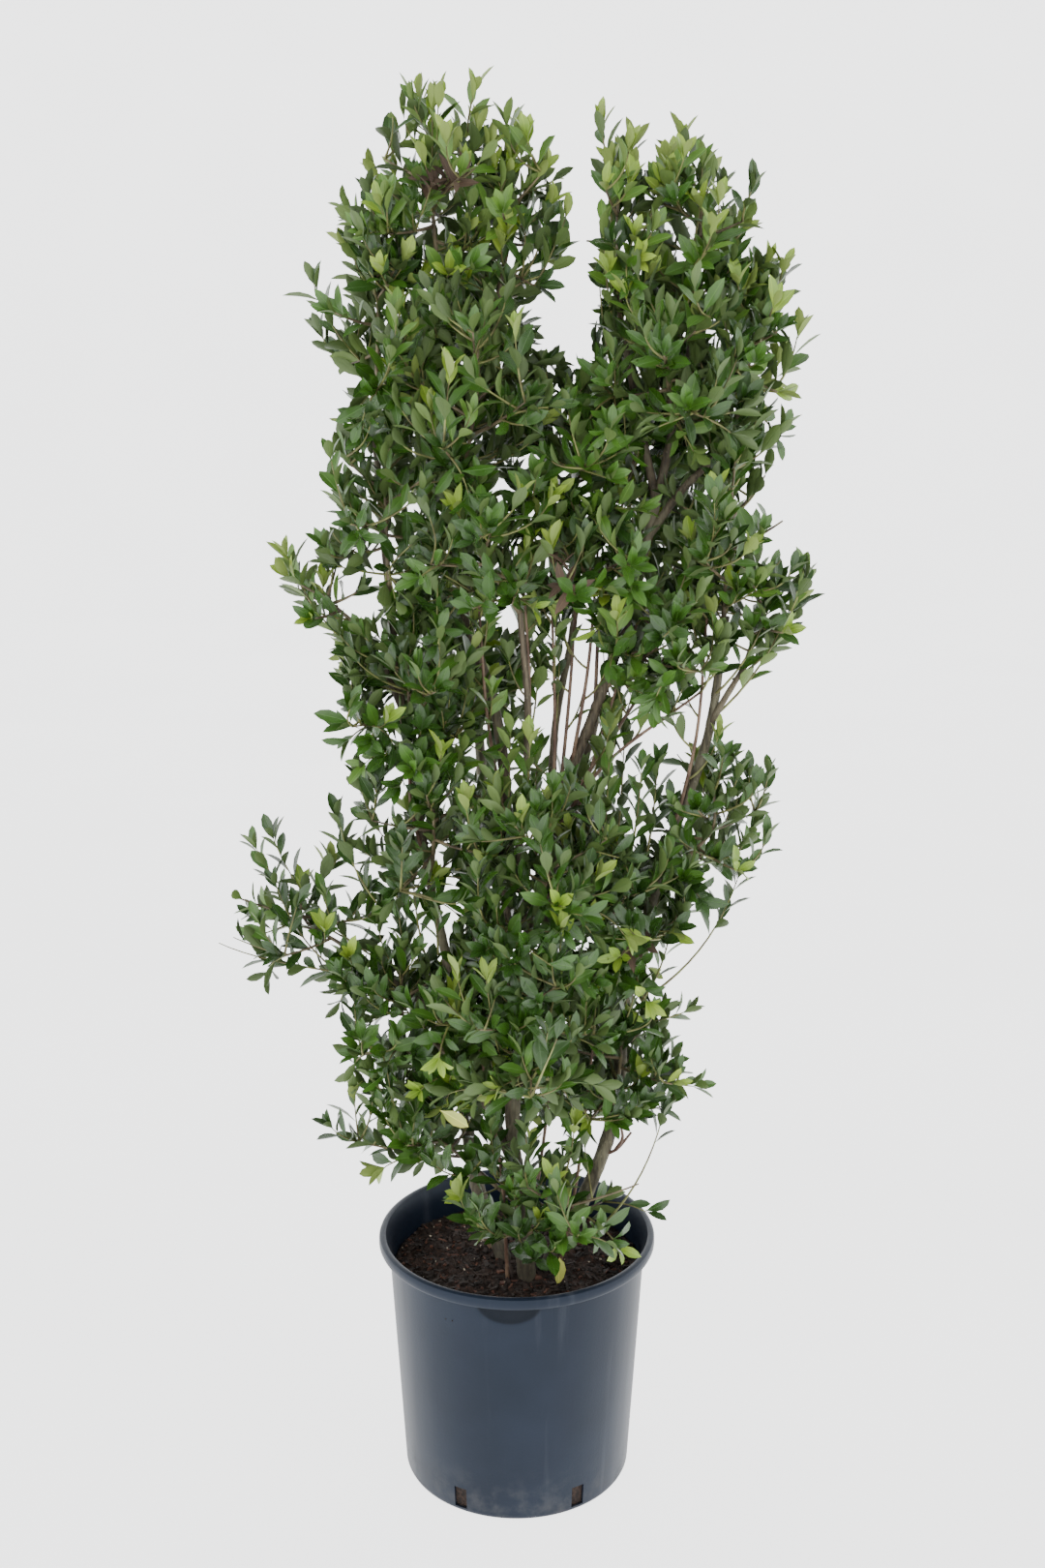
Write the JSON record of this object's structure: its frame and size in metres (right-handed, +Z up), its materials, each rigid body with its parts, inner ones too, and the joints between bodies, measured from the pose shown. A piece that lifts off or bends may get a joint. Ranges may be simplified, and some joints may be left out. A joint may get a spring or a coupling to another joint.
{
  "type": "potted evergreen shrub",
  "caption": "Upright evergreen holly shrub with small dark glossy leaves in two leafy columns, growing in a round black nursery pot filled with compost.",
  "frame": {"origin": "centre of the pot's flat underside, which stands on the floor", "axes": "+Z up along the pot's axis; +X to the right and -Y towards the viewer as seen in the picture"},
  "size_m": [0.6164, 0.3883, 1.5184],
  "materials": {
    "pot_plastic": "satin",
    "compost": "matte",
    "bark": "matte",
    "foliage": "satin"
  },
  "bodies": {
    "root": {"pot": "pot_plastic", "soil": "compost", "stem_main": "bark", "stem_right": "bark", "stem_back": "bark", "bough_left": "bark", "bough_right": "bark", "bough_left_outer": "bark", "bough_middle_left": "bark", "bough_middle_right": "bark", "bough_right_peak": "bark", "bough_right_lobe": "bark", "bough_left_peak": "bark", "bough_back_right": "bark", "bough_low_left": "bark", "bough_arm_left": "bark", "bough_arm_right": "bark", "foliage_left_top": "foliage", "foliage_left_peak": "foliage", "foliage_left_upper": "foliage", "foliage_left_heart": "foliage", "foliage_left_back": "foliage", "foliage_left_middle": "foliage", "foliage_left_inner": "foliage", "foliage_right_peak": "foliage", "foliage_right_top": "foliage", "foliage_right_lobe": "foliage", "foliage_right_heart": "foliage", "foliage_right_back": "foliage", "foliage_right_middle": "foliage", "foliage_centre_upper": "foliage", "foliage_centre": "foliage", "foliage_right_inner": "foliage", "foliage_right_arm": "foliage", "foliage_left_arm": "foliage", "foliage_left_waist": "foliage", "foliage_back_waist": "foliage", "foliage_back_right": "foliage", "foliage_left_low": "foliage", "foliage_front": "foliage", "foliage_back": "foliage", "foliage_right_low": "foliage", "foliage_right_side": "foliage", "foliage_arm_low_left": "foliage", "foliage_lower_left": "foliage", "foliage_foot_left": "foliage", "foliage_lower_front": "foliage", "foliage_lower_right": "foliage", "foliage_foot": "foliage", "foliage_lower_back": "foliage"}
  },
  "joints": []
}
